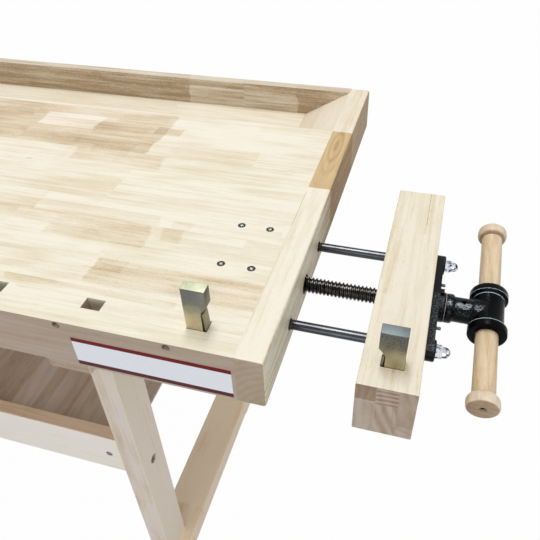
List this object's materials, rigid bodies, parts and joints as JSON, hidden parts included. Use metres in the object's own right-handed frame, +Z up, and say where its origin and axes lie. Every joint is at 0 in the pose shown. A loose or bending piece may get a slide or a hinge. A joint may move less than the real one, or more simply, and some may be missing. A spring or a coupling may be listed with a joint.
{
  "type": "woodworking bench",
  "caption": "Cabinet maker's wooden workbench on sled-foot trestles, with a dog-hole rail, tool tray, shelf, screw-driven end and front vises and square steel bench dogs.",
  "frame": {"origin": "on the floor, under the middle of the whole object's footprint at rest", "axes": "+X along the bench towards the end vise, +Y from the front rail to the tool tray, +Z up"},
  "size_m": [1.8408, 0.8386, 0.907],
  "materials": {
    "end_cap": "oiled hardwood, end board with one darker block",
    "rail_face": "oiled hardwood",
    "rail_core": "oiled hardwood",
    "rail_back": "oiled hardwood",
    "worktop": "oiled finger-jointed hardwood staves",
    "tray_wood": "oiled plywood and hardwood",
    "back_rail": "oiled hardwood",
    "ramp_wood": "oiled hardwood",
    "bearer_wood": "oiled hardwood",
    "foot_wood": "oiled hardwood",
    "leg_wood": "oiled hardwood",
    "shelf_rail_wood": "oiled hardwood",
    "shelf_wood": "thin board shelf",
    "batten_wood": "sawn hardwood",
    "bolt_steel": "zinc-plated",
    "tail_jaw_wood": "oiled finger-jointed hardwood",
    "front_jaw_wood": "oiled finger-jointed hardwood",
    "black_iron": "gloss black paint on cast iron",
    "rod_steel": "ground and oiled",
    "screw_steel": "rolled thread, dark oil",
    "handle_wood": "turned hardwood",
    "knob_wood": "turned hardwood",
    "nut_zinc": "bright zinc plate",
    "dog_steel": "yellow-passivated zinc plate",
    "leaf_steel": "spring steel"
  },
  "bodies": {
    "bench": {"right_end_cap": "end_cap", "left_end_cap": "end_cap", "front_rail_face": "rail_face", "dog_hole_core": "rail_core", "front_rail_back": "rail_back", "worktop_panel": "worktop", "tray_apron": "tray_wood", "tray_floor": "tray_wood", "back_rail": "back_rail", "tray_ramp_right": "ramp_wood", "tray_ramp_left": "ramp_wood", "bearer_right": "bearer_wood", "bearer_left": "bearer_wood", "foot_right": "foot_wood", "foot_left": "foot_wood", "leg_front_right": "leg_wood", "leg_rear_right": "leg_wood", "leg_front_left": "leg_wood", "leg_rear_left": "leg_wood", "shelf_rail_front": "shelf_rail_wood", "shelf_rail_rear": "shelf_rail_wood", "shelf_panel": "shelf_wood", "shelf_batten_front": "batten_wood", "shelf_batten_rear": "batten_wood", "shelf_cross_batten": "batten_wood", "rail_bolt_front_right": "bolt_steel", "rail_bolt_front_left": "bolt_steel", "rail_bolt_rear_right": "bolt_steel", "rail_bolt_rear_left": "bolt_steel", "tail_casting": "black_iron", "front_casting": "black_iron"},
    "tail_jaw_set": {"tail_jaw": "tail_jaw_wood", "tail_plate": "black_iron", "tail_rod_a": "rod_steel", "tail_rod_b": "rod_steel", "tail_nut_a": "nut_zinc", "tail_nut_b": "nut_zinc"},
    "tail_screw_set": {"tail_screw": "screw_steel", "tail_head": "black_iron"},
    "tail_handle_set": {"tail_handle": "handle_wood", "tail_knob_a": "knob_wood", "tail_knob_b": "knob_wood"},
    "front_jaw_set": {"front_jaw": "front_jaw_wood", "front_plate": "black_iron", "front_rod_a": "rod_steel", "front_rod_b": "rod_steel", "front_nut_a": "nut_zinc", "front_nut_b": "nut_zinc"},
    "front_screw_set": {"front_screw": "screw_steel", "front_head": "black_iron"},
    "front_handle_set": {"front_handle": "handle_wood", "front_knob_a": "knob_wood", "front_knob_b": "knob_wood"},
    "bench_dog_set": {"bench_dog": "dog_steel", "bench_dog_spring": "leaf_steel"},
    "jaw_dog_set": {"jaw_dog": "dog_steel", "jaw_dog_spring": "leaf_steel"}
  },
  "joints": [
    {"name": "tail_jaw_slide", "type": "slide", "parent": "bench", "child": "tail_jaw_set", "axis": [1, 0, 0], "range_m": [-0.0917, 0.05]},
    {"name": "tail_screw_turn", "type": "hinge", "parent": "tail_jaw_set", "child": "tail_screw_set", "pos_m": [0.77165, -0.05565, 0.803], "axis": [1, 0, 0], "range_deg": [-6955, 3795]},
    {"name": "tail_handle_slide", "type": "slide", "parent": "tail_screw_set", "child": "tail_handle_set", "axis": [0, 0.9938, 0.1115], "range_m": [-0.0943, 0.0795]},
    {"name": "front_jaw_slide", "type": "slide", "parent": "bench", "child": "front_jaw_set", "axis": [0, -1, 0], "range_m": [-0.0397, 0.08]},
    {"name": "front_screw_turn", "type": "hinge", "parent": "front_jaw_set", "child": "front_screw_set", "pos_m": [-0.74535, -0.27065, 0.803], "axis": [0, -1, 0], "range_deg": [-3014, 6069]},
    {"name": "front_handle_slide", "type": "slide", "parent": "front_screw_set", "child": "front_handle_set", "axis": [0.4695, 0, 0.8829], "range_m": [0, 0.1733]},
    {"name": "bench_dog_slide", "type": "slide", "parent": "bench", "child": "bench_dog_set", "axis": [0, 0, 1], "range_m": [-0.03, 0.02]},
    {"name": "jaw_dog_slide", "type": "slide", "parent": "tail_jaw_set", "child": "jaw_dog_set", "axis": [0, 0, 1], "range_m": [-0.02, 0.02]}
  ],
  "couplings": [
    {"joint": "tail_screw_turn", "follows": "tail_jaw_slide", "rad_per_m": 1322.8},
    {"joint": "front_screw_turn", "follows": "front_jaw_slide", "rad_per_m": 1322.8}
  ]
}
